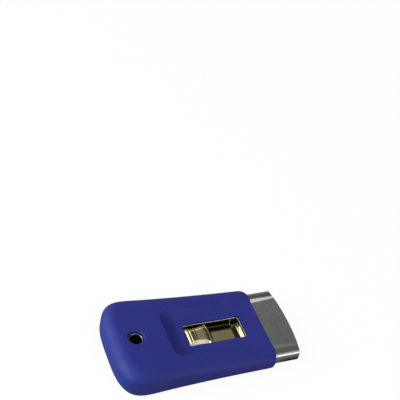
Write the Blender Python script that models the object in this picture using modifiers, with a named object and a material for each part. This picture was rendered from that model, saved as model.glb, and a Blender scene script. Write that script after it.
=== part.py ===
"""Pocket scraper: a single-edge blade on a sliding carriage, in a folded steel sheath with a moulded grip.

Metres, +Z up. The tool lies on its flat underside at Z = 0 and points its blade end to +X.
The origin is on the underside, at the middle of the tool's length and width.
"""

import math

import bmesh
import bpy
from mathutils import Vector

# Overall
overall_length = 0.0994
sheath_reach = 0.0156
fit_gap = 0.0003
seat_gap = 0.00015
slide_gap = 0.0003
overrun = 0.002
merge_distance = 0.00001

# Grip
grip_front_wall = 0.0032
grip_tail_flare = 0.0055
grip_flare_power = 2.6
grip_rail_height = 0.0008
grip_wedge_rise = 0.0064
grip_underside_skin = 0.0004
grip_window_skin = 0.0006
grip_top_round_width = 0.0066
grip_top_round_share = 0.9
grip_underside_round = 0.0042
grip_front_corner = 0.0036
grip_tail_round_width = 0.008
grip_tail_round_height = 0.0075
grip_tail_depth = 0.0165
grip_tail_power = 3.3

# Thumb recess in the grip, open at the front
recess_floor_front_width = 0.0256
recess_floor_rear_width = 0.0186
recess_rim_front_width = 0.0328
recess_rim_rear_width = 0.0302
recess_shelf = 0.0039
recess_rear_run = 0.0073
recess_rim_corner = 0.006
recess_floor_corner = 0.0034
recess_rim_edge = 0.0004
recess_hollow_power = 1.3

# Sheath
sheath_height = 0.007
sheath_sheet = 0.0008
sheath_bend = 0.0017
sheath_low_bend = 0.0012
sheath_strip_width = 0.0046
sheath_shoulder_width = 0.003
sheath_shoulder_drop = 0.0005
sheath_seam = 0.0006
sheath_nose_bow = 0.0019
sheath_tail_lap = 0.006

# Window through the sheath's top sheet and the grip's skin over it
window_setback = 0.0116
window_length = 0.0305
window_width = 0.013
window_corner = 0.001
window_skin_reveal = 0.0009

# Hang hole and its tube rivet
hang_hole_inset = 0.014
hang_hole_flare = 0.0009
eyelet_bore_radius = 0.00315
eyelet_wall = 0.0004
eyelet_lip = 0.0003
eyelet_lip_height = 0.0006
eyelet_depth = 0.0016
eyelet_flange = 0.0016
eyelet_flange_sheet = 0.0004

# Carriage
carriage_sheet = 0.0006
carriage_bend = 0.0009
carriage_side_gap = 0.0005
carriage_head_gap = 0.0004
tray_width = 0.0182
tray_depth = 0.0026
tray_tail = 0.002
tray_wall_height = 0.002
ramp_run = 0.0027
bridge_length = 0.0058
bed_length = 0.0115
bed_width = 0.008
bed_guide_height = 0.0012

# Thumb piece
thumb_rib_length = 0.0102
thumb_rib_count = 7
thumb_rib_height = 0.0004
thumb_groove = 0.0013
thumb_groove_depth = 0.0011
thumb_lip_length = 0.0033
thumb_sink = 0.0008
thumb_waist = 0.0018
thumb_sheet = 0.0009
thumb_tab_length = 0.002
thumb_tab_sheet = 0.0006
thumb_tab_clinch = 0.0007
thumb_rib_shares = ((0.12, 1), (0.25, 0), (0.5, 0), (0.75, 1))
thumb_groove_share = 0.75
thumb_crest_share = 0.12

# Blade and its folded back
blade_length = 0.0382
blade_depth = 0.019
blade_sheet = 0.00025
blade_bevel = 0.0012
blade_edge = 0.00002
blade_notch_radius = 0.0015
blade_notch_setback = 0.0078
blade_pip_radius = 0.0009
blade_pip_height = 0.0005
blade_pip_inset = 0.0003
blade_end_gap = 0.0008
spine_depth = 0.006
spine_height = 0.0011
spine_sheet = 0.00035
spine_setback = 0.0007

# Bow spring that holds the blade down
clip_width = 0.0036
clip_length = 0.03
clip_sheet = 0.0003
clip_flat = 0.006
clip_foot = 0.002
clip_tip_gap = 0.0001

# Click spring, its nib and the two holes it drops into
click_width = 0.004
click_sheet = 0.0003
click_reach = 0.0165
click_tail = 0.0018
click_tip = 0.002
click_nib_radius = 0.0012
click_nib_tip = 0.0007
click_hole_radius = 0.0016

# Rivets
rivet_radius = 0.0008
rivet_head_radius = 0.0014
rivet_head_height = 0.0003

# Segments
corner_steps = 5
arc_steps = 8
tail_steps = 9
side_steps = 7
round_steps = 6
bend_steps = 5
nose_steps = 16
turn_steps = 32
small_turn_steps = 20
waist_steps = 128

# Stations along X
nose_x = overall_length / 2
tail_x = -overall_length / 2
grip_front_x = nose_x - sheath_reach
grip_length = grip_front_x - tail_x
window_front_x = grip_front_x - window_setback
window_rear_x = window_front_x - window_length
recess_floor_end_x = window_rear_x - recess_shelf
recess_rim_end_x = recess_floor_end_x - recess_rear_run
hang_hole_x = tail_x + hang_hole_inset
sheath_rear_x = hang_hole_x - sheath_tail_lap
thumb_rear_x = window_rear_x + slide_gap
thumb_groove_x = thumb_rear_x + thumb_rib_length
thumb_lip_x = thumb_groove_x + thumb_groove
thumb_front_x = thumb_lip_x + thumb_lip_length
thumb_middle_x = (thumb_rear_x + thumb_groove_x) / 2
bridge_rear_x = window_front_x
bridge_front_x = bridge_rear_x + bridge_length
bridge_middle_x = (bridge_rear_x + bridge_front_x) / 2
ramp_rear_x = bridge_rear_x - ramp_run
bed_front_x = bridge_rear_x + bed_length
blade_rear_x = bridge_rear_x - spine_setback
blade_edge_x = blade_rear_x + blade_depth
click_root_x = thumb_rear_x + thumb_sheet + rivet_head_radius + fit_gap
click_nib_x = click_root_x + click_reach

# Levels along Z
sheath_bottom_z = grip_underside_skin + fit_gap
sheath_top_z = sheath_bottom_z + sheath_height
recess_floor_z = sheath_top_z + fit_gap + grip_window_skin
grip_front_height = recess_floor_z + grip_rail_height
cavity_floor_z = sheath_bottom_z + sheath_sheet
cavity_roof_z = sheath_top_z - sheath_sheet
carriage_low_z = cavity_floor_z + slide_gap
bridge_top_z = cavity_roof_z - sheath_shoulder_drop - carriage_head_gap
bridge_under_z = bridge_top_z - carriage_sheet
tray_top_z = bridge_top_z - tray_depth
tray_under_z = tray_top_z - carriage_sheet
thumb_base_z = tray_top_z + seat_gap
thumb_top_z = recess_floor_z - thumb_sink
bed_top_z = carriage_low_z + carriage_sheet
spine_low_z = bed_top_z + seat_gap
spine_top_z = spine_low_z + spine_height
blade_z = (spine_low_z + spine_top_z) / 2
click_top_z = tray_under_z - seat_gap
click_under_z = click_top_z - click_sheet

# Half widths, outwards from the blade's end
carriage_half = blade_length / 2 + blade_end_gap + carriage_sheet
cavity_half = carriage_half + carriage_side_gap
sheath_half = cavity_half + sheath_sheet
sheath_shoulder_half = sheath_half - sheath_strip_width
sheath_flat_half = sheath_shoulder_half - sheath_shoulder_width
grip_front_half = sheath_half + grip_front_wall
thumb_half = window_width / 2 - slide_gap
thumb_tab_half = thumb_half - thumb_waist / 2 - thumb_sheet / 2

# The slope of the thumb piece's lip stops just short of the window's front end, at the sheath's underside.
thumb_crest_x = thumb_lip_x + thumb_lip_length * thumb_crest_share
thumb_crest_z = thumb_top_z - thumb_rib_height
lip_height_share = (cavity_roof_z - thumb_base_z) / (thumb_crest_z - thumb_base_z)
lip_stop_x = thumb_crest_x + (thumb_front_x - thumb_crest_x) * math.sqrt(1 - lip_height_share**2)
slide_travel = window_front_x - window_corner / 2 - slide_gap - lip_stop_x


def arc(center, radii, start, stop, steps):
    """Points on an ellipse's arc, both ends included, with the angles in degrees."""
    points = []
    for step in range(steps + 1):
        angle = math.radians(start + (stop - start) * step / steps)
        points.append((center[0] + radii[0] * math.cos(angle), center[1] + radii[1] * math.sin(angle)))
    return points


def mirrored(half):
    """A closed outline from its half at positive Y, whose first and last points lie off or on the plane."""
    other = [(x, -y, *rest) for x, y, *rest in reversed(half) if y > 0]
    return half + other


def make_material(name, colour, metallic, roughness):
    material = bpy.data.materials.new(name)
    material.use_nodes = True
    shader = material.node_tree.nodes["Principled BSDF"]
    shader.inputs["Base Color"].default_value = (*colour, 1)
    shader.inputs["Metallic"].default_value = metallic
    shader.inputs["Roughness"].default_value = roughness
    material.diffuse_color = (*colour, 1)
    return material


def add_object(name, bm, collection, material=None, sharp_angle=35):
    """Turns a bmesh into an object of a collection, shaded smooth up to an angle."""
    mesh = bpy.data.meshes.new(name)
    bm.to_mesh(mesh)
    bm.free()
    mesh.shade_smooth()
    mesh.set_sharp_from_angle(angle=math.radians(sharp_angle))
    obj = bpy.data.objects.new(name, mesh)
    collection.objects.link(obj)
    if material:
        mesh.materials.append(material)
    return obj


def add_cutter(name, bm):
    """A hidden shape that is cut from a part or joined to it."""
    obj = add_object(name, bm, cutters)
    obj.hide_render = True
    obj.display_type = "WIRE"
    return obj


def apply_boolean(obj, other, operation="DIFFERENCE"):
    modifier = obj.modifiers.new(other.name, "BOOLEAN")
    modifier.operation = operation
    modifier.solver = "EXACT"
    modifier.object = other


def add_solidify(obj, thickness):
    """Gives an open sheet its thickness, on the side away from its normals."""
    modifier = obj.modifiers.new("sheet", "SOLIDIFY")
    modifier.thickness = thickness
    modifier.offset = -1
    modifier.use_even_offset = True


def box(low, high):
    """A box between two corners."""
    bm = bmesh.new()
    bmesh.ops.create_cube(bm, size=1)
    size = Vector(high) - Vector(low)
    bmesh.ops.scale(bm, vec=size, verts=bm.verts)
    bmesh.ops.translate(bm, vec=Vector(low) + size / 2, verts=bm.verts)
    return bm


def cylinder(x, y, low_z, high_z, low_radius, high_radius, steps):
    """An upright cylinder or cone between two levels."""
    bm = bmesh.new()
    height = high_z - low_z
    bmesh.ops.create_cone(
        bm, cap_ends=True, segments=steps, radius1=low_radius, radius2=high_radius, depth=height
    )
    bmesh.ops.translate(bm, vec=(x, y, low_z + height / 2), verts=bm.verts)
    return bm


def prism(outline, direction):
    """A closed solid from a closed outline of 3D points, pushed along a direction."""
    bm = bmesh.new()
    face = bm.faces.new([bm.verts.new(point) for point in outline])
    pushed = bmesh.ops.extrude_face_region(bm, geom=[face])["geom"]
    moved = [item for item in pushed if isinstance(item, bmesh.types.BMVert)]
    bmesh.ops.translate(bm, vec=direction, verts=moved)
    bmesh.ops.recalc_face_normals(bm, faces=bm.faces)
    return bm


def swept_sheet(path, direction):
    """An open sheet from a path of 3D points, pushed along a direction."""
    bm = bmesh.new()
    line = [bm.verts.new(point) for point in path]
    edges = [bm.edges.new(pair) for pair in zip(line, line[1:])]
    pushed = bmesh.ops.extrude_edge_only(bm, edges=edges)["geom"]
    moved = [item for item in pushed if isinstance(item, bmesh.types.BMVert)]
    bmesh.ops.translate(bm, vec=direction, verts=moved)
    along = Vector(path[1]) - Vector(path[0])
    outward = Vector(direction).cross(along)
    bm.normal_update()
    if edges[0].link_faces[0].normal.dot(outward) < 0:
        bmesh.ops.reverse_faces(bm, faces=bm.faces)
    return bm


def loft(rings):
    """A closed solid through rings of equally many points, with a flat cap on the first and the last."""
    bm = bmesh.new()
    levels = [[bm.verts.new(point) for point in ring] for ring in rings]
    for lower, upper in zip(levels, levels[1:]):
        for index in range(len(lower)):
            following = (index + 1) % len(lower)
            bm.faces.new((lower[index], lower[following], upper[following], upper[index]))
    bm.faces.new(list(reversed(levels[0])))
    bm.faces.new(levels[-1])
    bmesh.ops.recalc_face_normals(bm, faces=bm.faces)
    return bm


def turned(name, profile, collection, material, steps, x):
    """A turned piece about an upright axis at x, from its outer profile, run top to bottom."""
    bm = bmesh.new()
    line = [bm.verts.new((radius, 0, z)) for radius, z in profile]
    for pair in zip(line, line[1:]):
        bm.edges.new(pair)
    if profile[0][0] > 0:
        bm.edges.new((line[-1], line[0]))
    obj = add_object(name, bm, collection, material)
    obj.location.x = x
    screw = obj.modifiers.new("turn", "SCREW")
    screw.steps = steps
    screw.render_steps = steps
    screw.use_merge_vertices = True
    screw.merge_threshold = merge_distance
    return obj


def rounded_rectangle(low, high, corner):
    """A plan outline with round corners, between two corners in X and Y."""
    points = []
    inner_x = (low[0] + corner, high[0] - corner)
    inner_y = (low[1] + corner, high[1] - corner)
    radii = (corner, corner)
    points += arc((inner_x[1], inner_y[1]), radii, 0, 90, corner_steps)
    points += arc((inner_x[0], inner_y[1]), radii, 90, 180, corner_steps)
    points += arc((inner_x[0], inner_y[0]), radii, 180, 270, corner_steps)
    points += arc((inner_x[1], inner_y[0]), radii, 270, 360, corner_steps)
    return points


def grip_top_z(x):
    """Level of the grip's sloping top at x."""
    return grip_front_height + grip_wedge_rise * (grip_front_x - x) / grip_length


def grip_half_width(x):
    """Half the grip's width at x: the sides flare out towards the tail."""
    along = max(grip_front_x - x, 0) / grip_length
    return grip_front_half + grip_tail_flare / 2 * along**grip_flare_power


def blend(first, second, share):
    return first + (second - first) * share


def grip_ring(turn, upper):
    """A ring round the grip: turn is 0 degrees on its wall and 90 on its top or its underside."""
    drawn_in = 1 - math.cos(math.radians(turn))
    away = 1 - math.sin(math.radians(turn))
    side_height = grip_underside_round
    side_inset = grip_underside_round * drawn_in
    tail_height = grip_underside_round
    tail_inset = grip_underside_round * drawn_in
    if upper:
        side_height = (grip_front_height - grip_underside_round) * grip_top_round_share
        side_inset = grip_top_round_width * drawn_in
        tail_height = grip_tail_round_height
        tail_inset = grip_tail_round_width * drawn_in

    def level(x, height):
        return grip_top_z(x) - height * away if upper else height * away

    corner = grip_front_corner * (1 - drawn_in / 2)
    side_x = grip_front_x - corner
    side_y = grip_half_width(side_x) - side_inset
    half = [(grip_front_x, 0, level(grip_front_x, side_height))]
    for x, y in arc((side_x, side_y - corner), (corner, corner), 0, 90, corner_steps):
        half.append((x, y, level(x, side_height)))
    tail_start_x = tail_x + grip_tail_depth
    for step in range(1, side_steps):
        x = blend(side_x, tail_start_x, step / side_steps)
        half.append((x, grip_half_width(x) - side_inset, level(x, side_height)))
    tail_half = grip_half_width(tail_start_x) - side_inset
    tail_depth = grip_tail_depth - tail_inset
    for step in range(tail_steps + 1):
        angle = math.radians(90 * step / tail_steps)
        x = tail_start_x - tail_depth * math.sin(angle) ** (2 / grip_tail_power)
        y = tail_half * max(math.cos(angle), 0) ** (2 / grip_tail_power) if step < tail_steps else 0
        half.append((x, y, level(x, blend(side_height, tail_height, step / tail_steps))))
    return mirrored(half)


def recess_half(front_half, rear_half, end_x, corner):
    """Half of the thumb recess in plan, from past the grip's front to its closed end."""
    front_x = grip_front_x + overrun
    corner_x = end_x + corner
    points = []
    for step in range(side_steps + 1):
        share = step / side_steps
        points.append((blend(front_x, corner_x, share), blend(front_half, rear_half, share)))
    points += arc((corner_x, rear_half - corner), (corner, corner), 90, 180, arc_steps)[1:]
    points.append((end_x, 0))
    return points


def recess_cutter():
    """The recess: a level floor with hollow walls that run out to the rim on the sloping top."""
    floor = recess_half(
        recess_floor_front_width / 2, recess_floor_rear_width / 2, recess_floor_end_x, recess_floor_corner
    )
    rim = recess_half(
        recess_rim_front_width / 2, recess_rim_rear_width / 2, recess_rim_end_x, recess_rim_corner
    )
    outset = recess_rim_edge + overrun
    edge = recess_half(
        recess_rim_front_width / 2 + outset,
        recess_rim_rear_width / 2 + outset,
        recess_rim_end_x - outset,
        recess_rim_corner + outset,
    )
    rings = []
    for step in range(corner_steps + 1):
        share = step / corner_steps
        half = []
        for (floor_x, floor_y), (rim_x, rim_y) in zip(floor, rim):
            x = blend(floor_x, rim_x, share)
            y = blend(floor_y, rim_y, share)
            rise = grip_top_z(x) - recess_rim_edge - recess_floor_z
            half.append((x, y, recess_floor_z + rise * share**recess_hollow_power))
        rings.append(mirrored(half))
    rings.append(mirrored([(x, y, grip_top_z(x) + overrun) for x, y in edge]))
    return add_cutter("recess_cutter", loft(rings))


def sheath_half_path(grow):
    """Half of the sheath's outer section, from the top's middle to the seam, grown by a clearance."""
    half = sheath_half + grow
    bend = sheath_bend + grow
    low_bend = sheath_low_bend + grow
    high = sheath_top_z + grow
    low = sheath_bottom_z - grow
    shoulder = high - sheath_shoulder_drop
    path = [(0, high), (sheath_flat_half, high), (sheath_shoulder_half, shoulder)]
    path += arc((half - bend, shoulder - bend), (bend, bend), 90, 0, corner_steps)
    path += arc((half - low_bend, low + low_bend), (low_bend, low_bend), 0, -90, corner_steps)
    return path


def pocket_cutter():
    """The grip's pocket: the sheath's section with a clearance all round."""
    rear_x = sheath_rear_x - fit_gap
    half = sheath_half_path(fit_gap)
    outline = [(rear_x, y, z) for y, z in half]
    outline += [(rear_x, -y, z) for y, z in reversed(half) if y > 0]
    return add_cutter("pocket_cutter", prism(outline, (grip_front_x + overrun - rear_x, 0, 0)))


def window_cutter(name, reveal, low_z, high_z):
    half = window_width / 2 + reveal
    outline = rounded_rectangle(
        (window_rear_x - reveal, -half), (window_front_x + reveal, half), window_corner + reveal
    )
    return add_cutter(name, prism([(x, y, low_z) for x, y in outline], (0, 0, high_z - low_z)))


def hang_hole_cutters():
    """The hang hole's bore with a ledge for the rivet's lip, its rounded mouth and the flange's seat."""
    outer = eyelet_bore_radius + eyelet_wall
    bore_radius = outer + seat_gap
    ledge_z = grip_top_z(hang_hole_x) - eyelet_depth - eyelet_lip_height - seat_gap
    mouth_radius = outer + eyelet_lip + seat_gap
    flange_radius = outer + eyelet_flange + fit_gap
    bore = cylinder(hang_hole_x, 0, -overrun, ledge_z + overrun, bore_radius, bore_radius, turn_steps)
    mouth_top = grip_top_z(tail_x)
    mouth = cylinder(hang_hole_x, 0, ledge_z, mouth_top, mouth_radius, mouth_radius, turn_steps)
    seat = cylinder(hang_hole_x, 0, -overrun, sheath_bottom_z, flange_radius, flange_radius, turn_steps)
    flare_radius = mouth_radius + hang_hole_flare
    profile = [(0, overrun), (flare_radius, overrun)]
    turn = arc((flare_radius, -hang_hole_flare), (-hang_hole_flare, hang_hole_flare), 90, 0, corner_steps)
    profile += turn[1:]
    profile.append((0, -hang_hole_flare))
    flare = turned("hang_hole_flare_cutter", profile, cutters, None, turn_steps, hang_hole_x)
    flare.location.z = grip_top_z(hang_hole_x)
    flare.rotation_euler.y = math.atan(grip_wedge_rise / grip_length)
    flare.hide_render = True
    flare.display_type = "WIRE"
    return [
        add_cutter("hang_bore_cutter", bore),
        add_cutter("hang_mouth_cutter", mouth),
        add_cutter("flange_seat_cutter", seat),
        flare,
    ]


def build_grip():
    """The moulded grip: a wedge with rounded sides, a thumb recess, a window, a pocket and a hang hole."""
    rings = [grip_ring(90 * step / corner_steps, False) for step in range(corner_steps, -1, -1)]
    rings += [grip_ring(90 * step / round_steps, True) for step in range(round_steps + 1)]
    grip = add_object("grip", loft(rings), parts, grip_blue)
    apply_boolean(grip, recess_cutter())
    apply_boolean(grip, pocket_cutter())
    skin_window = window_cutter("skin_window_cutter", window_skin_reveal, cavity_roof_z, grip_front_height)
    apply_boolean(grip, skin_window)
    for cutter in hang_hole_cutters():
        apply_boolean(grip, cutter)
    return grip


def nose_cutter():
    """What lies in front of the sheath's bowed nose."""
    outline = []
    reach = sheath_half + overrun
    for step in range(nose_steps + 1):
        y = blend(-reach, reach, step / nose_steps)
        outline.append((nose_x - sheath_nose_bow * (y / sheath_half) ** 2, y, 0))
    outline += [(nose_x + overrun, reach, 0), (nose_x + overrun, -reach, 0)]
    return add_cutter("nose_cutter", prism(outline, (0, 0, sheath_top_z + overrun)))


def build_sheath():
    """The sheath: one sheet folded to a flat sleeve, its seam along the underside."""
    half = [(y, z) for y, z in sheath_half_path(0)] + [(sheath_seam / 2, sheath_bottom_z)]
    section = [(-y, z) for y, z in reversed(half) if y > 0] + half
    length = nose_x + fit_gap - sheath_rear_x
    path = [(sheath_rear_x, y, z) for y, z in section]
    sheath = add_object("sheath", swept_sheet(path, (length, 0, 0)), parts, brushed_steel)
    add_solidify(sheath, sheath_sheet)
    apply_boolean(sheath, nose_cutter())
    apply_boolean(sheath, window_cutter("window_cutter", 0, cavity_roof_z - overrun, sheath_top_z + overrun))
    hang_radius = eyelet_bore_radius + eyelet_wall + seat_gap
    hang = cylinder(hang_hole_x, 0, 0, sheath_top_z + overrun, hang_radius, hang_radius, turn_steps)
    apply_boolean(sheath, add_cutter("sheath_hang_cutter", hang))
    for name, x in (("rear", click_nib_x), ("front", click_nib_x + slide_travel)):
        top = cavity_floor_z + slide_gap
        hole = cylinder(x, 0, 0, top, click_hole_radius, click_hole_radius, small_turn_steps)
        apply_boolean(sheath, add_cutter(f"click_hole_{name}_cutter", hole))
    return sheath


def build_eyelet():
    """The tube rivet of the hang hole: a flange below, a tube through both, a rolled lip on top."""
    inner = eyelet_bore_radius
    outer = inner + eyelet_wall
    top = grip_top_z(hang_hole_x) - eyelet_depth
    flange_top = sheath_bottom_z - seat_gap
    flange_low = flange_top - eyelet_flange_sheet
    profile = [
        (inner, top - eyelet_wall),
        (inner + eyelet_wall / 2, top),
        (outer + eyelet_lip / 2, top),
        (outer + eyelet_lip, top - eyelet_lip_height / 2),
        (outer + eyelet_lip, top - eyelet_lip_height),
        (outer, top - eyelet_lip_height),
        (outer, flange_top),
        (outer + eyelet_flange, flange_top),
        (outer + eyelet_flange, flange_low),
        (inner, flange_low),
    ]
    return turned("hang_hole_eyelet", profile, parts, eyelet_steel, turn_steps, hang_hole_x)


def both_sides(x, right):
    """A path across the tool at x, from its half at positive Y, which runs outwards."""
    return [(x, -y, z) for y, z in reversed(right)] + [(x, y, z) for y, z in right]


def channel_path(x, half, low, high, bend, foot):
    """A folded channel's outer face, seen along X: feet turned in below, legs and a flat top."""
    right = arc((half - bend, high - bend), (bend, bend), 90, 0, bend_steps)
    right += arc((half - bend, low + bend), (bend, bend), 0, -90, bend_steps)
    right.append((half - foot, low))
    return both_sides(x, right)


def tray_path(x, half, floor_z, wall_height, bend):
    """A tray's inner face, seen along X: a flat floor between two upturned walls."""
    right = arc((half - bend, floor_z + bend), (bend, bend), -90, 0, bend_steps)
    right.append((half, floor_z + wall_height))
    return both_sides(x, right)


def ramp_cutter():
    """The carriage's cross ramp, from its tray up to its bridge, joined to both."""
    lap = carriage_bend
    half = tray_width / 2 - carriage_bend
    line = [
        (ramp_rear_x - lap, tray_top_z),
        (ramp_rear_x, tray_top_z),
        (bridge_rear_x, bridge_top_z),
        (bridge_rear_x + lap, bridge_top_z),
    ]
    path = [(x, half, z) for x, z in line]
    ramp = add_cutter("ramp_shape", swept_sheet(path, (0, -2 * half, 0)))
    add_solidify(ramp, carriage_sheet)
    return ramp


def build_carriage():
    """The slide carriage: a tray, a cross ramp, a bridge over the blade and a bed turned in under it."""
    low = carriage_low_z
    path = channel_path(bridge_rear_x, carriage_half, low, bridge_top_z, carriage_bend, bed_width)
    sheet = swept_sheet(path, (bed_front_x - bridge_rear_x, 0, 0))
    carriage = add_object("slide_carriage", sheet, parts, gold_steel)
    add_solidify(carriage, carriage_sheet)
    front = box(
        (bridge_front_x, -sheath_half, bed_top_z + bed_guide_height),
        (bed_front_x + overrun, sheath_half, sheath_top_z),
    )
    apply_boolean(carriage, add_cutter("bridge_front_cutter", front))
    tray_rear_x = thumb_rear_x - tray_tail
    path = tray_path(tray_rear_x, tray_width / 2, tray_top_z, tray_wall_height, carriage_bend)
    tray = add_cutter("tray_shape", swept_sheet(path, (ramp_rear_x - tray_rear_x, 0, 0)))
    add_solidify(tray, carriage_sheet)
    apply_boolean(carriage, ramp_cutter(), "UNION")
    apply_boolean(carriage, tray, "UNION")
    for side in (-1, 1):
        pip = cylinder(
            blade_rear_x + blade_notch_setback,
            side * (blade_length / 2 - blade_pip_inset),
            carriage_low_z + carriage_sheet / 2,
            blade_z + blade_pip_height,
            blade_pip_radius,
            blade_pip_radius / 2,
            small_turn_steps,
        )
        apply_boolean(carriage, add_cutter(f"pip_shape_{side + 1}", pip), "UNION")
        slot = box(
            (thumb_middle_x - thumb_tab_length / 2 - seat_gap, -thumb_tab_sheet / 2 - seat_gap, bed_top_z),
            (thumb_middle_x + thumb_tab_length / 2 + seat_gap, thumb_tab_sheet / 2 + seat_gap, thumb_top_z),
        )
        bmesh.ops.translate(slot, vec=(0, side * thumb_tab_half, 0), verts=slot.verts)
        apply_boolean(carriage, add_cutter(f"tab_slot_{side + 1}_cutter", slot))
    for name, x in (("click", click_root_x), ("clip", bridge_middle_x)):
        radius = rivet_radius + seat_gap
        hole = cylinder(x, 0, click_under_z, sheath_top_z, radius, radius, small_turn_steps)
        apply_boolean(carriage, add_cutter(f"{name}_rivet_hole_cutter", hole))
    return carriage


def thumb_profile():
    """The thumb piece's side view: a rear end, ribs, a groove and a lip that bows down to the carriage."""
    points = [(thumb_front_x, thumb_base_z), (thumb_rear_x, thumb_base_z)]
    pitch = thumb_rib_length / thumb_rib_count
    for index in range(thumb_rib_count):
        for along_share, drop_share in thumb_rib_shares:
            x = thumb_rear_x + pitch * (index + along_share)
            points.append((x, thumb_top_z - thumb_rib_height * drop_share))
    points.append((thumb_groove_x, thumb_top_z - thumb_groove_depth))
    points.append((thumb_groove_x + thumb_groove * thumb_groove_share, thumb_top_z - thumb_groove_depth))
    rise = thumb_crest_z - thumb_base_z
    run = thumb_front_x - thumb_crest_x
    points += arc((thumb_crest_x, thumb_base_z), (run, rise), 90, 0, round_steps)[:-1]
    return points


def tab_shape(side):
    """A tab of the thumb piece: through its slot in the carriage, then bent outwards under it."""
    inner = thumb_tab_half - thumb_tab_sheet / 2
    outer = inner + thumb_tab_sheet
    high = thumb_base_z + thumb_sheet
    bend_z = tray_under_z - seat_gap
    low = bend_z - thumb_tab_sheet
    section = [
        (inner, high),
        (outer, high),
        (outer, bend_z),
        (outer + thumb_tab_clinch, bend_z),
        (outer + thumb_tab_clinch, low),
        (inner, low),
    ]
    rear_x = thumb_middle_x - thumb_tab_length / 2
    outline = [(rear_x, side * y, z) for y, z in section]
    return add_cutter(f"tab_shape_{side + 1}", prism(outline, (thumb_tab_length, 0, 0)))


def build_thumb_piece():
    """The ribbed thumb piece: a formed saddle with a waist, held by two tabs clinched under the carriage."""
    outline = [(x, -thumb_half, z) for x, z in thumb_profile()]
    thumb = add_object("thumb_piece", prism(outline, (0, 2 * thumb_half, 0)), parts, gold_steel)
    half_run = thumb_rib_length / 2
    radius = (half_run**2 + (thumb_waist / 2) ** 2) / thumb_waist
    for side in (-1, 1):
        y = side * (thumb_half - thumb_waist / 2 + radius)
        waist = cylinder(thumb_middle_x, y, 0, grip_front_height, radius, radius, waist_steps)
        apply_boolean(thumb, add_cutter(f"waist_{side + 1}_cutter", waist))
    hollow_half = thumb_half - thumb_waist / 2 - thumb_sheet
    hollow_top_z = thumb_top_z - thumb_groove_depth - thumb_sheet
    hollow = box(
        (thumb_rear_x + thumb_sheet, -hollow_half, 0),
        (thumb_lip_x, hollow_half, hollow_top_z),
    )
    apply_boolean(thumb, add_cutter("thumb_hollow_cutter", hollow))
    for side in (-1, 1):
        apply_boolean(thumb, tab_shape(side), "UNION")
    return thumb


def build_blade():
    """The single-edge blade, ground from both sides, with a notch in each end."""
    half_sheet = blade_sheet / 2
    half_edge = blade_edge / 2
    bevel_x = blade_edge_x - blade_bevel
    rear_x = blade_rear_x + spine_sheet + seat_gap
    section = [
        (rear_x, blade_z - half_sheet),
        (bevel_x, blade_z - half_sheet),
        (blade_edge_x, blade_z - half_edge),
        (blade_edge_x, blade_z + half_edge),
        (bevel_x, blade_z + half_sheet),
        (rear_x, blade_z + half_sheet),
    ]
    outline = [(x, -blade_length / 2, z) for x, z in section]
    blade = add_object("blade", prism(outline, (0, blade_length, 0)), parts, blade_steel)
    for side in (-1, 1):
        notch = cylinder(
            blade_rear_x + blade_notch_setback,
            side * blade_length / 2,
            bed_top_z,
            bridge_top_z,
            blade_notch_radius,
            blade_notch_radius,
            turn_steps,
        )
        apply_boolean(blade, add_cutter(f"notch_{side + 1}_cutter", notch))
    return blade


def build_blade_spine():
    """The folded back that grips the blade's rear edge."""
    bend = spine_height / 2
    front_x = blade_rear_x + spine_depth
    line = [(front_x, spine_top_z)]
    line += arc((blade_rear_x + bend, blade_z), (bend, bend), 90, 270, round_steps)
    line.append((front_x, spine_low_z))
    path = [(x, -blade_length / 2, z) for x, z in line]
    spine = add_object("blade_spine", swept_sheet(path, (0, blade_length, 0)), parts, blade_steel)
    add_solidify(spine, spine_sheet)
    return spine


def build_blade_clip():
    """The bow spring: flat under the bridge, bowed down to rest both feet on the blade's back."""
    high = bridge_under_z - seat_gap
    low = spine_top_z + clip_tip_gap + clip_sheet
    foot_y = clip_length / 2 - clip_foot
    right = [(clip_flat / 2, high), (foot_y, low), (clip_length / 2, low)]
    rear_x = bridge_middle_x - clip_width / 2
    path = [(rear_x, -y, z) for y, z in reversed(right)] + [(rear_x, y, z) for y, z in right]
    clip = add_object("blade_clip", swept_sheet(path, (clip_width, 0, 0)), parts, spring_steel)
    add_solidify(clip, clip_sheet)
    radius = rivet_radius + seat_gap
    hole = cylinder(bridge_middle_x, 0, 0, sheath_top_z, radius, radius, small_turn_steps)
    apply_boolean(clip, add_cutter("clip_hole_cutter", hole))
    return clip


def build_rivet(name, x, top_seat_z, low_seat_z):
    """A small rivet through two sheets, with a flat head on each side."""
    profile = [
        (0, top_seat_z + seat_gap + rivet_head_height),
        (rivet_head_radius - seat_gap, top_seat_z + seat_gap + rivet_head_height),
        (rivet_head_radius, top_seat_z + seat_gap),
        (rivet_radius, top_seat_z + seat_gap),
        (rivet_radius, low_seat_z - seat_gap),
        (rivet_head_radius, low_seat_z - seat_gap),
        (rivet_head_radius - seat_gap, low_seat_z - seat_gap - rivet_head_height),
        (0, low_seat_z - seat_gap - rivet_head_height),
    ]
    return turned(name, profile, parts, blade_steel, small_turn_steps, x)


def build_click_spring():
    """The click spring: a leaf held at its root, with a nib that drops into the sheath's click holes."""
    axis_z = click_top_z - click_sheet / 2
    leaf = box(
        (-click_tail, -click_width / 2, click_under_z - axis_z),
        (click_reach + click_tip, click_width / 2, click_top_z - axis_z),
    )
    spring = add_object("click_spring", leaf, parts, spring_steel)
    nib = cylinder(
        click_reach, 0, carriage_low_z - axis_z, 0, click_nib_tip, click_nib_radius, small_turn_steps
    )
    apply_boolean(spring, place(add_cutter("nib_shape", nib), axis_z), "UNION")
    radius = rivet_radius + seat_gap
    hole = cylinder(0, 0, -overrun, overrun, radius, radius, small_turn_steps)
    apply_boolean(spring, place(add_cutter("click_root_hole_cutter", hole), axis_z))
    return place(spring, axis_z)


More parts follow.
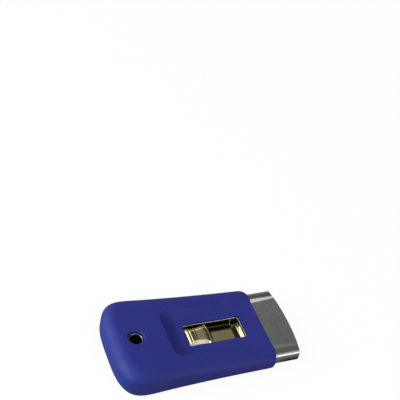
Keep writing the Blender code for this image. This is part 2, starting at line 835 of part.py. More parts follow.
def place(obj, axis_z):
    """Puts a piece of the click spring on the spring's hinge line."""
    obj.location = (click_root_x, 0, axis_z)
    return obj


def carry(pieces, name, location):
    """Hangs pieces on an empty that marks their joint, without moving them."""
    empty = bpy.data.objects.new(name, None)
    empty.location = location
    empty.empty_display_size = overrun
    parts.objects.link(empty)
    bpy.context.view_layer.update()
    for piece in pieces:
        piece.parent = empty
        piece.matrix_parent_inverse = empty.matrix_world.inverted()


for old in list(bpy.data.objects):
    bpy.data.objects.remove(old, do_unlink=True)
parts = bpy.data.collections.new("pocket_scraper")
cutters = bpy.data.collections.new("cutters")
bpy.context.scene.collection.children.link(parts)
bpy.context.scene.collection.children.link(cutters)

grip_blue = make_material("grip_blue", (0.030, 0.036, 0.200), 0, 0.5)
brushed_steel = make_material("brushed_steel", (0.32, 0.33, 0.31), 1, 0.35)
gold_steel = make_material("gold_steel", (0.62, 0.55, 0.30), 1, 0.25)
eyelet_steel = make_material("eyelet_steel", (0.45, 0.45, 0.45), 1, 0.3)
blade_steel = make_material("blade_steel", (0.55, 0.56, 0.57), 1, 0.25)
spring_steel = make_material("spring_steel", (0.40, 0.41, 0.43), 1, 0.3)

build_grip()
build_sheath()
build_eyelet()
moving = [
    build_carriage(),
    build_thumb_piece(),
    build_blade(),
    build_blade_spine(),
    build_blade_clip(),
    build_rivet("clip_rivet", bridge_middle_x, bridge_top_z, bridge_under_z - seat_gap - clip_sheet),
    build_rivet("click_rivet", click_root_x, tray_top_z, click_under_z),
    build_click_spring(),
]
carry(moving, "blade_slide", (blade_edge_x, 0, blade_z))
bpy.context.view_layer.update()
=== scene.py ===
"""The looks of a pocket scraper: moulded grip, steel sheath, gold-plated carriage and blade.

Metres, +Z up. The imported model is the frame: each piece here stands where its node stands.
"""

import math

import bmesh
import bpy
from bpy.props import FloatProperty, FloatVectorProperty, IntProperty, PointerProperty
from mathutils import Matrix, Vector


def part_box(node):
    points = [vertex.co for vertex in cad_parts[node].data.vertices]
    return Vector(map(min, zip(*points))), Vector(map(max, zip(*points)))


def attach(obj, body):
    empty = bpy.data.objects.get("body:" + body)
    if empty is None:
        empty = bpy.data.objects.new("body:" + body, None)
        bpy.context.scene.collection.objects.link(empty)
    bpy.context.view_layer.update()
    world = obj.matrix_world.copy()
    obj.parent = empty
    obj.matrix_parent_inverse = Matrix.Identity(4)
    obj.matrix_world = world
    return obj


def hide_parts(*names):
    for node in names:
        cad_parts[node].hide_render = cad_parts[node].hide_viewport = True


bl_info = {
    "name": "Pocket Scraper",
    "version": (1, 0, 0),
    "blender": (4, 5, 0),
    "location": "View3D > Sidebar > Scraper",
    "description": "Models and finishes a pocket scraper on its packed frame",
    "category": "Object",
}

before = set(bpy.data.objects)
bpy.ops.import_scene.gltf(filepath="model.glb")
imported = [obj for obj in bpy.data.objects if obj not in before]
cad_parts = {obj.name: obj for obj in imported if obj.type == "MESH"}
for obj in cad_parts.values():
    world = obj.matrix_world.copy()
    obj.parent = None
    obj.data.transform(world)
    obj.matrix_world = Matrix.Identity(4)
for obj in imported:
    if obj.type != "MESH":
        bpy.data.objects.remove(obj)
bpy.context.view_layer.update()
grip_low, grip_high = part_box("grip")
sheath_low, sheath_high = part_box("sheath")
carriage_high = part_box("slide_carriage")[1]
click_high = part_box("click_spring")[1]
thumb_low, thumb_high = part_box("thumb_piece")
eyelet_low, eyelet_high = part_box("hang_hole_eyelet")

OVERRUN = 0.002
SLACK = 0.00002
MERGE_DISTANCE = 0.000001
FLAT_DEGREES = 0.5
EDGE_DEGREES = 40
HOLE_STEPS = 48

# Each area of the surroundings: toward its middle, cosines of its edge and its core, colour
SURROUNDINGS = (
    ((0, 0, 1), 0.1, 0.95, (0.52, 0.51, 0.54)),
    ((-0.78, 0.40, 0.33), 0.45, 0.92, (1.1, 1.3, 1.45)),
    ((-0.93, 0.36, 0.02), 0.70, 0.97, (1.6, 4.2, 3.4)),
    ((-0.71, 0.557, 0.44), 0.90, 0.94, (1.9, 1.9, 1.9)),
    ((0.415, 0.557, 0.718), 0.90, 0.945, (0.20, 0.21, 0.195)),
    ((-0.086, 0.557, 0.825), 0.935, 0.955, (0.02, 0.02, 0.02)),
    ((0.72, 0.557, 0.41), 0.94, 0.975, (0.02, 0.02, 0.02)),
    ((0.415, 0.76, 0.497), 0.982, 0.993, (1.5, 1.5, 1.5)),
    ((0.415, -0.80, 0.43), 0.955, 0.978, (3.8, 3.75, 3.6)),
    ((0.415, -0.30, 0.86), 0.965, 0.985, (1.1, 1.1, 1.1)),
)


def length(name, description, default):
    """A length in metres that a user can change."""
    return FloatProperty(name=name, description=description, default=default, unit="LENGTH", precision=5)


def number(name, description, default):
    """A plain number that a user can change."""
    return FloatProperty(name=name, description=description, default=default)


def place(name, description, default):
    """A place in metres that a user can change."""
    return FloatVectorProperty(name=name, description=description, default=default, unit="LENGTH")


def colour(name, description, default):
    """A colour that a user can change."""
    settings = {"size": 3, "subtype": "COLOR", "min": 0, "max": 1}
    return FloatVectorProperty(name=name, description=description, default=default, **settings)


class GripSettings(bpy.types.PropertyGroup):
    """Sizes of the moulded grip"""

    side_wall: length("Side wall", "How much the front stands out beside the sheath", 0.0032)
    tail_flare: length("Tail flare", "How much wider the grip is at its tail", 0.0055)
    flare_power: number("Flare power", "How late the sides flare out", 2.6)
    front_height: length("Front height", "Height of the top face at the front", 0.0094)
    wedge_rise: length("Wedge rise", "How much higher the top face is at the tail", 0.0064)
    top_round_width: length("Top round width", "How far the top edge's round reaches in", 0.0066)
    top_round_share: number("Top round share", "How much of the side the top edge's round takes", 0.9)
    underside_round: length("Underside round", "Radius of the round below", 0.0042)
    edge_round: length("Edge round", "Width of the rounded edges", 0.00025)
    front_corner: length("Front corner", "Radius of the front corners in plan", 0.0036)
    tail_round_width: length("Tail round width", "How far the tail's round reaches in", 0.008)
    tail_round_height: length("Tail round height", "How far the tail's round reaches down", 0.0075)
    tail_depth: length("Tail depth", "Length of the rounded tail", 0.0165)
    tail_power: number("Tail power", "How square the tail is in plan", 3.3)


class RecessSettings(bpy.types.PropertyGroup):
    """Sizes of the thumb recess and the window in its floor"""

    floor_z: length("Floor level", "Level of the recess's floor", 0.0086)
    floor_front_width: length("Floor front width", "Width of the floor at the open front", 0.0256)
    floor_rear_width: length("Floor rear width", "Width of the floor at the closed end", 0.0186)
    rim_front_width: length("Rim front width", "Width between the rims at the open front", 0.0328)
    rim_rear_width: length("Rim rear width", "Width between the rims at the closed end", 0.0302)
    shelf: length("Shelf", "Floor behind the window", 0.0039)
    rear_run: length("Rear run", "Length of the sloping rear wall", 0.0073)
    rim_corner: length("Rim corner", "Radius of the rim's corners in plan", 0.006)
    floor_corner: length("Floor corner", "Radius of the floor's corners in plan", 0.0034)
    rim_roll: length("Rim roll", "Width of the rim's rolled edge", 0.0009)
    rim_drop: length("Rim drop", "Depth of the rim's rolled edge", 0.0003)
    hollow_power: number("Hollow power", "How hollow the walls are", 1.3)
    window_setback: length("Window setback", "From the grip's front to the window", 0.0109)
    window_length: length("Window length", "Length of the window", 0.0312)
    window_width: length("Window width", "Width of the window", 0.0134)
    window_corner: length("Window corner", "Radius of the window's corners", 0.001)
    skin_reveal: length("Skin reveal", "Sheet that shows round the window", 0.0002)
    front_reveal: length("Front reveal", "Sheet that shows in front of the window", 0.0009)


class SheathSettings(bpy.types.PropertyGroup):
    """Sizes of the folded steel sheath"""

    sheet: length("Sheet", "Thickness of the sheet", 0.0008)
    bend: length("Bend", "Outer radius of the upper folds", 0.002)
    low_bend: length("Low bend", "Outer radius of the lower folds", 0.0012)
    strip_width: length("Strip width", "Width of the level strip beside the step, fold included", 0.0046)
    step_width: length("Step width", "Width of the slope beside the raised middle", 0.003)
    step_drop: length("Step drop", "How much higher the middle of the top is", 0.0005)
    step_round: length("Step round", "Width of the step's rounded corners", 0.0002)
    nose_step_width: length("Nose step width", "Width of the slope at the nose", 0.0017)
    seam: length("Seam", "Gap between the sheet's two edges below", 0.0006)
    nose_bow: length("Nose bow", "How far the nose stands out in its middle", 0.0019)
    pocket_gap: length("Pocket gap", "Gap between the sheath and the grip", 0.0003)
    edge_break: length("Edge break", "Width of the broken edges", 0.00012)
    click_radius: length("Click hole radius", "Radius of the two holes for the click spring's nib", 0.0016)
    click_setback: length("Click setback", "From the click spring's tip to its nib", 0.002)
    slide_travel: length("Slide travel", "From one click hole to the other", 0.016)
    # Painted shade: where the sheath's sides darken low down toward the nose
    painted_nose_shade_high: length("Smudge high", "Level where the smudge beside the nose starts", 0.006)
    painted_nose_shade_low: length("Smudge low", "Level where the smudge beside the nose is full", 0.0025)
    painted_nose_shade_start: length("Smudge start", "Where the smudge starts along the tool", 0.034)
    painted_nose_shade_full: length("Smudge full", "Where the smudge is full along the tool", 0.041)


class HangHoleSettings(bpy.types.PropertyGroup):
    """Sizes of the hang hole and its tube rivet"""

    center_x: length("Center", "Where the hole stands along the tool", (eyelet_low.x + eyelet_high.x) / 2)
    bore_radius: length("Bore radius", "Inner radius of the tube", 0.00315)
    wall: length("Wall", "Thickness of the tube", 0.0004)
    lip: length("Lip", "How far the rolled lip stands out", 0.0003)
    lip_height: length("Lip height", "Height of the rolled lip", 0.0006)
    flange: length("Flange", "How far the flange below stands out", 0.0016)
    flare: length("Flare", "Radius of the grip's rounded mouth", 0.0009)
    clearance: length("Clearance", "Gap between the rivet and what it holds", 0.00015)


class CarriageSettings(bpy.types.PropertyGroup):
    """Sizes of the slide carriage's tray and ramp"""

    tray_depth: length("Tray depth", "How far the tray lies below the carriage's top", 0.0026)
    tray_half: length("Tray half width", "Half the width of the packed model's tray", 0.0091)
    wall_shift: length("Wall shift", "How much closer the tray's walls stand to the middle", 0.0026)
    wall_growth: length("Wall growth", "How much higher the tray's walls are", 0.001)
    wall_top: length("Wall top", "Level of the packed model's walls above the tray", 0.0019)
    floor_half: length("Floor half width", "Half the width of the tray's floor that stays", 0.0055)
    straight_start: length("Straight start", "Where the packed model's straight ramp starts", 0.0198)
    straight_run: length("Straight run", "Length of the packed model's straight ramp", 0.0027)
    ramp_start: length("Ramp start", "Where the ramp starts to rise", 0.0193)
    knee_run: length("Knee run", "Length of the ramp's gentle part", 0.0027)
    knee_rise: length("Knee rise", "Rise of the ramp's gentle part", 0.0012)
    steep_run: length("Steep run", "Length of the ramp's steep part", 0.0012)
    ramp_fade: length("Ramp fade", "Width over which the ramp runs out beside the tray", 0.003)
    # Painted shade: the tray is darkened at its sides, outside its bright middle
    bright_half: length("Bright half width", "Half the width of the tray's bright middle", 0.0029)
    painted_tray_shade_fade: length("Oil fade", "Width over which the oiled sides of the tray darken", 0.001)
    edge_break: length("Edge break", "Width of the broken edges", 0.00008)


class ThumbSettings(bpy.types.PropertyGroup):
    """Sizes of the ribbed thumb piece"""

    rib_length: length("Ribbed length", "Length of the ribbed saddle", 0.0102)
    rise: length("Rise", "Height of the saddle above the carriage's tray", 0.00425)
    rib_count: IntProperty(name="Rib count", description="How many ribs the saddle has", default=7)
    rib_height: length("Rib height", "Height of the tallest rib", 0.0005)
    rib_fade: number("Rib fade", "How soon the ribs fade towards the front", 1.7)
    groove: length("Groove", "Width of the groove in front of the saddle", 0.0021)
    groove_fall: length("Groove fall", "Width of the groove's steep side", 0.0004)
    groove_depth: length("Groove depth", "Depth of the groove", 0.0009)
    crest_drop: length("Crest drop", "How much lower the lip is than the saddle", 0.0004)
    waist: length("Waist", "How much narrower the saddle is in its middle", 0.0018)
    flank: length("Flank", "Width of the sloping sides", 0.002)
    flank_drop: length("Flank drop", "Height of the sloping sides", 0.00106)
    rear_slope: length("Rear slope", "Length of the sloping rear edge", 0.0016)
    rear_drop: length("Rear drop", "Height of the sloping rear edge", 0.001)
    lip_bow: length("Lip bow", "How far the lip stands out in its middle", 0.0007)
    lip_crown: length("Lip crown", "How much higher the lip is in its middle", 0.00035)
    sheet: length("Sheet", "Thickness of the sheet", 0.0005)


class BladeSettings(bpy.types.PropertyGroup):
    """Rounded edges of the blade and the small parts"""

    leaf_edge: length("Leaf edge", "Width of the blade's broken edges", 0.00001)
    back_edge: length("Back edge", "Width of the blade back's rounded edges", 0.00006)
    small_edge: length("Small edge", "Width of the springs' and rivets' rounded edges", 0.00005)


class FinishSettings(bpy.types.PropertyGroup):
    """Colours of the finishes and of the painted highlight, and how much the parts with painted shade keep
    of them
    """

    grip_colour: colour("Grip", "Violet-blue of the moulding", (0.0165, 0.022, 0.186))
    grip_shade: colour("Grip shade", "Deeper violet that clouds the moulding", (0.020, 0.018, 0.162))
    steel_colour: colour("Sheath steel", "Grey of the brushed sheet", (0.46, 0.48, 0.455))
    gold_colour: colour("Gold plating", "Yellow of the plated carriage", (0.78, 0.66, 0.36))
    eyelet_colour: colour("Eyelet steel", "Grey of the tube rivet", (0.31, 0.31, 0.33))
    blade_colour: colour("Blade steel", "Grey of the ground blade", (0.42, 0.43, 0.44))
    spring_colour: colour("Spring steel", "Blue grey of the springs", (0.33, 0.35, 0.38))
    floor_colour: colour("Floor", "White of the floor as the camera sees it", (0.93, 0.93, 0.93))
    floor_shade: colour("Floor shade", "Grey of the floor in reflections", (0.42, 0.42, 0.43))
    floor_glow: number("Floor glow", "How much of the floor shines for the camera", 0.94)
    # Painted highlight: the light cream painted on the thumb piece's near flank
    painted_flank_highlight_colour: colour("Worn flank", "Cream of the thumb piece's worn flank", (1.0, 0.87, 0.68))
    # Painted shade: these shares darken the sheath's strips, its inside, its sides near the nose, the tray's
    # sides and the tube's inside
    painted_far_strip_shade: number("Far strip", "Share of its colour that the sheath's far strip keeps", 0.55)
    painted_near_strip_shade: number("Near strip", "Share of its colour that the sheath's near strip keeps", 0.85)
    painted_sheath_inside_shade: number("Oiled sheath", "Share of its colour that the sheath's oiled inside keeps", 0.05)
    painted_nose_shade: number("Smudge", "Share of its colour that the smudge beside the nose keeps", 0.06)
    painted_tray_side_shade: number("Oiled tray", "Share of its colour that the tray's oiled sides keep", 0.03)
    painted_tube_shade: number("Tube inside", "Share of its colour that the tube's inside keeps", 0.1)


class StageSettings(bpy.types.PropertyGroup):
    """The camera and the light"""

    camera_place: place("Camera place", "Where the camera stands", (-0.18275, -0.28357, 0.39702))
    camera_turn: FloatVectorProperty(
        name="Camera turn",
        description="How the camera is turned",
        default=tuple(math.radians(angle) for angle in (47.485, -10.354, -20.588)),
        subtype="EULER",
    )
    focal_length: number("Focal length", "Focal length in millimetres", 90)
    lens_shift: number("Lens shift", "Lens shift in shares of the picture's width", -0.0018)
    floor_reach: length("Floor reach", "Half the floor's width", 1.5)
    world_level: number("World level", "Brightness of the surroundings between their areas", 0.12)
    key_power: number("Key power", "Power of the key lamp in watts", 2.6)
    key_size: length("Key size", "Width of the key lamp", 0.45)
    key_place: place("Key place", "Where the key lamp hangs", (-0.55, 0.15, 0.34))
    key_tint: colour("Key tint", "Tint of the key lamp", (0.93, 0.98, 1.0))
    fill_power: number("Fill power", "Power of the fill lamp in watts", 0.65)
    fill_size: length("Fill size", "Width of the fill lamp", 0.5)
    fill_place: place("Fill place", "Where the fill lamp hangs", (0.1, -0.45, 0.5))
    fill_tint: colour("Fill tint", "Tint of the fill lamp", (1.0, 0.99, 0.97))


def arc(center, radii, start, stop, steps):
    """Points on an ellipse's arc, both ends included, with the angles in degrees."""
    points = []
    for step in range(steps + 1):
        angle = math.radians(start + (stop - start) * step / steps)
        points.append((center[0] + radii[0] * math.cos(angle), center[1] + radii[1] * math.sin(angle)))
    return points


def blend(first, second, share):
    """A value between two, at a share of the way."""
    return first + (second - first) * share


def mirrored(half):
    """A closed outline from its half at positive Y."""
    return half + [(x, -y, z) for x, y, z in reversed(half) if y > 0]


def extrude_line(bm, line, edges, points):
    """Extrudes a line of edges and puts its new vertices on the points, in the old ones' order."""
    made = bmesh.ops.extrude_edge_only(bm, edges=edges)["geom"]
    fresh = {item for item in made if isinstance(item, bmesh.types.BMVert)}
    moved = []
    for vert, point in zip(line, points):
        twin = next(edge.other_vert(vert) for edge in vert.link_edges if edge.other_vert(vert) in fresh)
        twin.co = point
        moved.append(twin)
    made_edges = [item for item in made if isinstance(item, bmesh.types.BMEdge)]
    return moved, [edge for edge in made_edges if set(edge.verts) <= fresh]


def loft(rings):
    """A closed solid: a circle is shaped to the first ring, extruded to each next one and capped."""
    bm = bmesh.new()
    line = bmesh.ops.create_circle(bm, segments=len(rings[0]), radius=1, cap_ends=True)["verts"]
    for vert, point in zip(line, rings[0]):
        vert.co = point
    edges = list(bm.edges)
    for ring in rings[1:]:
        line, edges = extrude_line(bm, line, edges, ring)
    bmesh.ops.contextual_create(bm, geom=edges)
    bmesh.ops.recalc_face_normals(bm, faces=bm.faces)
    return bm


def sheet_loft(rows):
    """An open sheet through rows of points, with its outside up."""
    bm = bmesh.new()
    line = [bm.verts.new(point) for point in rows[0]]
    edges = [bm.edges.new(pair) for pair in zip(line, line[1:])]
    for row in rows[1:]:
        line, edges = extrude_line(bm, line, edges, row)
    bmesh.ops.remove_doubles(bm, verts=bm.verts, dist=MERGE_DISTANCE)
    bmesh.ops.recalc_face_normals(bm, faces=bm.faces)
    if max(bm.faces, key=lambda face: face.calc_center_median().z).normal.z < 0:
        bmesh.ops.reverse_faces(bm, faces=bm.faces)
    return bm


def prism(outline, low_z, high_z):
    """An upright solid from a closed plan outline."""
    return loft([[(x, y, z) for x, y in outline] for z in (low_z, high_z)])


def circle(x, radius, steps):
    """A plan circle about a point on the tool's middle line."""
    return arc((x, 0), (radius, radius), 0, 360, steps)[:-1]


def rounded_rectangle(low, high, corner, steps):
    """A plan outline with round corners, between two corners in X and Y."""
    points = []
    centers = (
        (high[0] - corner, high[1] - corner, 0),
        (low[0] + corner, high[1] - corner, 90),
        (low[0] + corner, low[1] + corner, 180),
        (high[0] - corner, low[1] + corner, 270),
    )
    for x, y, start in centers:
        points += arc((x, y), (corner, corner), start, start + 90, steps)
    return points


def spun(profile, x, steps):
    """A solid of revolution about an upright axis at x, from a closed profile of radii and levels."""
    bm = bmesh.new()
    line = [bm.verts.new((x + radius, 0, z)) for radius, z in profile]
    edges = [bm.edges.new(pair) for pair in zip(line, line[1:] + line[:1])]
    bmesh.ops.spin(
        bm, geom=line + edges, cent=(x, 0, 0), axis=(0, 0, 1), angle=math.tau, steps=steps, use_merge=True
    )
    bmesh.ops.remove_doubles(bm, verts=bm.verts, dist=MERGE_DISTANCE)
    bmesh.ops.recalc_face_normals(bm, faces=bm.faces)
    return bm


def new_object(name, bm):
    """An object of a bmesh."""
    mesh = bpy.data.meshes.new(name)
    bm.to_mesh(mesh)
    bm.free()
    obj = bpy.data.objects.new(name, mesh)
    bpy.context.scene.collection.objects.link(obj)
    return obj


def bake_modifiers(obj):
    """Applies an object's modifiers."""
    bpy.context.view_layer.update()
    graph = bpy.context.evaluated_depsgraph_get()
    baked = bpy.data.meshes.new_from_object(obj.evaluated_get(graph))
    obj.modifiers.clear()
    obj.data = baked


def cut(obj, bm):
    """Cuts a shape from an object."""
    other = new_object("cutter", bm)
    modifier = obj.modifiers.new("cut", "BOOLEAN")
    modifier.operation = "DIFFERENCE"
    modifier.solver = "EXACT"
    modifier.object = other
    bake_modifiers(obj)
    bpy.data.objects.remove(other, do_unlink=True)


def thicken(obj, sheet, even):
    """Gives an open sheet its thickness, inward."""
    solidify = obj.modifiers.new("sheet", "SOLIDIFY")
    solidify.thickness = sheet
    solidify.offset = -1
    solidify.use_even_offset = even
    bake_modifiers(obj)


def break_edges(obj, width, segments=2):
    """Rounds an object's sharp edges."""
    bevel = obj.modifiers.new("edges", "BEVEL")
    bevel.width = width
    bevel.segments = segments
    bevel.limit_method = "ANGLE"
    bevel.angle_limit = math.radians(EDGE_DEGREES)
    bevel.use_clamp_overlap = True


def finish_piece(obj, node, body, slot, material, sharp_degrees=EDGE_DEGREES):
    """Shades a piece, gives it its finish and puts it in its node's place."""
    mesh = obj.data
    if not mesh.polygons:
        raise RuntimeError(f"{obj.name} has no faces")
    mesh.name = obj.name
    mesh.shade_smooth()
    mesh.set_sharp_from_angle(angle=math.radians(sharp_degrees))
    mesh.materials.clear()
    mesh.materials.append(material)
    normals = obj.modifiers.new("normals", "WEIGHTED_NORMAL")
    normals.keep_sharp = True
    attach(obj, body)
    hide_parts(node)


class Nodes:
    """A node tree under construction."""

    def __init__(self, tree):
        self.tree = tree

    def add(self, kind, **inputs):
        """A new node with some of its inputs, each given a value or linked to an output."""
        node = self.tree.nodes.new(kind)
        for name, value in inputs.items():
            self.feed(node.inputs[name.replace("_", " ")], value)
        return node

    def feed(self, socket, value):
        """Links an output to an input, or gives the input a value."""
        if isinstance(value, bpy.types.NodeSocket):
            self.tree.links.new(value, socket)
        else:
            socket.default_value = (*value, 1) if socket.type == "RGBA" else value

    def spread(self, value, low, high, first=0, second=1, easing="LINEAR"):
        """Maps a value's range to another."""
        ranges = {"From_Min": low, "From_Max": high, "To_Min": first, "To_Max": second}
        node = self.add("ShaderNodeMapRange", Value=value, **ranges)
        node.interpolation_type = easing
        return node.outputs["Result"]

    def mix(self, factor, first, second, mode="MIX"):
        """Mixes two colours, each a colour or an output."""
        node = self.add("ShaderNodeMix", Factor=factor)
        node.data_type = "RGBA"
        node.blend_type = mode
        sockets = [item for item in node.inputs if item.type == "RGBA"]
        for socket, value in zip(sockets, (first, second)):
            self.feed(socket, value)
        return next(item for item in node.outputs if item.type == "RGBA")

    def combine(self, operation, first, second=0.0):
        """Works on an output with another output or a number."""
        node = self.add("ShaderNodeMath")
        node.operation = operation
        self.feed(node.inputs[0], first)
        self.feed(node.inputs[1], second)
        return node.outputs["Value"]

    def choose(self, share, first, second, target):
        """Mixes two shaders into an output node."""
        node = self.add("ShaderNodeMixShader", Fac=share)
        self.feed(node.inputs[1], first)
        self.feed(node.inputs[2], second)
        self.feed(self.tree.nodes[target].inputs["Surface"], node.outputs["Shader"])

    def camera_ray(self):
        """An output that is 1 for rays from the camera."""
        return self.add("ShaderNodeLightPath").outputs["Is Camera Ray"]


class Finish(Nodes):
    """A material under construction: its nodes read object coordinates."""

    def __init__(self, name, base, metallic, roughness):
        self.material = bpy.data.materials.new(name)
        self.material.use_nodes = True
        super().__init__(self.material.node_tree)
        self.shader = self.tree.nodes["Principled BSDF"]
        for name, value in (("Base Color", base), ("Metallic", metallic), ("Roughness", roughness)):
            self.drive(name, value)
        self.coordinates = self.add("ShaderNodeTexCoord").outputs["Object"]
        self.normal = None

    def drive(self, name, value):
        """Links an output to one of the shader's inputs, or gives the input a value."""
        self.feed(self.shader.inputs[name], value)

    def noise(self, scale, detail=3, stretch=(1, 1, 1), roughness=0.5):
        """A noise whose cells are 1 / scale metres wide, times the stretch."""
        scales = tuple(scale / share for share in stretch)
        mapping = self.add("ShaderNodeMapping", Vector=self.coordinates, Scale=scales)
        spot = mapping.outputs["Vector"]
        texture = self.add("ShaderNodeTexNoise", Vector=spot, Scale=1, Detail=detail, Roughness=roughness)
        return texture.outputs["Fac"]

    def bump(self, height, strength, distance):
        """Adds relief on top of the relief so far."""
        node = self.add("ShaderNodeBump", Strength=strength, Distance=distance, Height=height)
        if self.normal:
            self.feed(node.inputs["Normal"], self.normal)
        self.normal = node.outputs["Normal"]
        self.drive("Normal", self.normal)

    def axis(self, name, size=False):
        """The coordinate along an axis, or its size without the sign."""
        value = self.add("ShaderNodeSeparateXYZ", Vector=self.coordinates).outputs[name]
        return self.combine("ABSOLUTE", value) if size else value

    def paint_tint(self, attribute, tint, roughness):
        """Paints a matt tint over the finish where a vertex attribute is 1."""
        node = self.add("ShaderNodeAttribute")
        node.attribute_name = attribute
        for name, value in (("Base Color", tint), ("Roughness", (roughness, roughness, roughness))):
            before = self.shader.inputs[name].links[0].from_socket
            self.drive(name, self.mix(node.outputs["Fac"], before, value))

    def shade(self, share, mask, *others):
        """Darkens the colour so far where all masks are 1."""
        for other in others:
            mask = self.combine("MULTIPLY", mask, other)
        base = self.shader.inputs["Base Color"].links[0].from_socket
        self.drive("Base Color", self.mix(mask, base, (share, share, share), "MULTIPLY"))


def scaled(base, share):
    """A colour made darker or lighter."""
    return tuple(min(channel * share, 1) for channel in base)


def moulding_finish(settings):
    """Soft violet-blue moulding: a fine spark-eroded grain, faint clouds and rubbed spots."""
    finish = Finish("violet_moulding", settings.grip_colour, metallic=0, roughness=0.5)
    clouds = finish.noise(scale=70, detail=4)
    speckle = finish.noise(scale=3200, detail=2)
    tone = finish.mix(finish.spread(clouds, 0.35, 0.65), settings.grip_colour, settings.grip_shade)
    light = scaled(settings.grip_colour, 1.25)
    finish.drive("Base Color", finish.mix(finish.spread(speckle, 0.3, 0.7, 0, 0.5), tone, light))
    rubbed, smooth, matt = finish.noise(scale=260, detail=5), 0.52, 0.64
    finish.drive("Roughness", finish.spread(rubbed, 0.3, 0.7, smooth, matt))
    finish.drive("Specular IOR Level", 0.26)
    finish.bump(finish.noise(scale=420, detail=3), strength=0.06, distance=0.0002)
    finish.bump(speckle, strength=0.22, distance=0.00006)
    return finish.material


def brushed(name, base, roughness, stretch, grain, depth):
    """Metal with fine parallel brushing along the stretched axis, faint stains and small scratches."""
    finish = Finish(name, base, metallic=1, roughness=roughness)
    lines = finish.noise(grain, detail=4, stretch=stretch, roughness=0.65)
    stains = finish.noise(scale=150, detail=4)
    dull, light = scaled(base, 0.86), scaled(base, 1.2)
    tone = finish.mix(finish.spread(stains, 0.35, 0.7), base, dull)
    finish.drive("Base Color", finish.mix(finish.spread(lines, 0.35, 0.65, 0, 0.5), tone, light))
    smooth, rough = roughness * 0.8, roughness * 1.25
    finish.drive("Roughness", finish.spread(lines, 0.25, 0.75, smooth, rough))
    finish.bump(stains, strength=0.05, distance=0.0002)
    finish.bump(lines, depth, distance=0.00003)
    return finish


def sheath_finish(settings, sheath):
    """Brushed sheet with painted shade: darker strips beside its raised middle, the far one most, a darker
    inside and darker sides low down at the nose.
    """
    name, steel, along = "brushed_sheath_steel", settings.steel_colour, (1, 12, 1)
    finish = brushed(name, steel, roughness=0.24, stretch=along, grain=6500, depth=0.12)
    across, off_middle, level = finish.axis("Y"), finish.axis("Y", True), finish.axis("Z")
    strip_y = sheath_high.y - sheath.strip_width
    # Painted shade: the level strips beside the raised middle are darkened, the far one more than the near
    # one, for their darker reflections
    for side, share in ((1, settings.painted_far_strip_shade), (-1, settings.painted_near_strip_shade)):
        start_y, full_y = strip_y - sheath.step_round, strip_y + sheath.step_round
        finish.shade(share, finish.spread(across, side * start_y, side * full_y))
    # Painted shade: the sheath's inner faces are darkened, where shade falls inside it
    soft = sheath.sheet / 8
    under_z, over_z = sheath_high.z - sheath.sheet + soft, sheath_low.z + sheath.sheet / 2
    within_y = sheath_high.y - 2 * (sheath.sheet + soft)
    under = finish.spread(level, under_z + soft, under_z)
    over = finish.spread(level, over_z - soft, over_z)
    within = finish.spread(off_middle, within_y + soft, within_y)
    finish.shade(settings.painted_sheath_inside_shade, under, over, within)
    # Painted shade: the sides are darkened low down toward the nose, for the dark floor they reflect there
    low_side = finish.spread(level, sheath.painted_nose_shade_high, sheath.painted_nose_shade_low)
    toward_nose = finish.spread(finish.axis("X"), sheath.painted_nose_shade_start, sheath.painted_nose_shade_full)
    side_y = sheath_high.y - sheath.sheet
    outside = finish.spread(off_middle, side_y, side_y + 5 * soft)
    finish.shade(settings.painted_nose_shade, low_side, toward_nose, outside)
    return finish.material


def tray_finish(settings, carriage):
    """Bright plating with painted shade at the sides of the tray, behind the ramp."""
    gold = settings.gold_colour
    finish = brushed("bright_gold_plating", gold, roughness=0.08, stretch=(1, 30, 1), grain=4200, depth=0.04)
    # Painted shade: the tray's sides are darkened, where they lie in shade and reflect dark
    dark_y = carriage.bright_half + carriage.painted_tray_shade_fade
    sides = finish.spread(finish.axis("Y", True), carriage.bright_half, dark_y)
    behind = finish.spread(finish.axis("X"), carriage.straight_start, carriage.ramp_start)
    finish.shade(settings.painted_tray_side_shade, sides, behind)
    return finish.material


def grip_top_z(x, grip):
    """Level of the grip's sloping top at x."""
    along = (grip_high.x - x) / (grip_high.x - grip_low.x)
    return grip.front_height + grip.wedge_rise * along


def grip_half_width(x, grip):
    """Half the grip's width at x, which flares toward the tail."""
    along = max(grip_high.x - x, 0) / (grip_high.x - grip_low.x)
    return sheath_high.y + grip.side_wall + grip.tail_flare / 2 * along**grip.flare_power


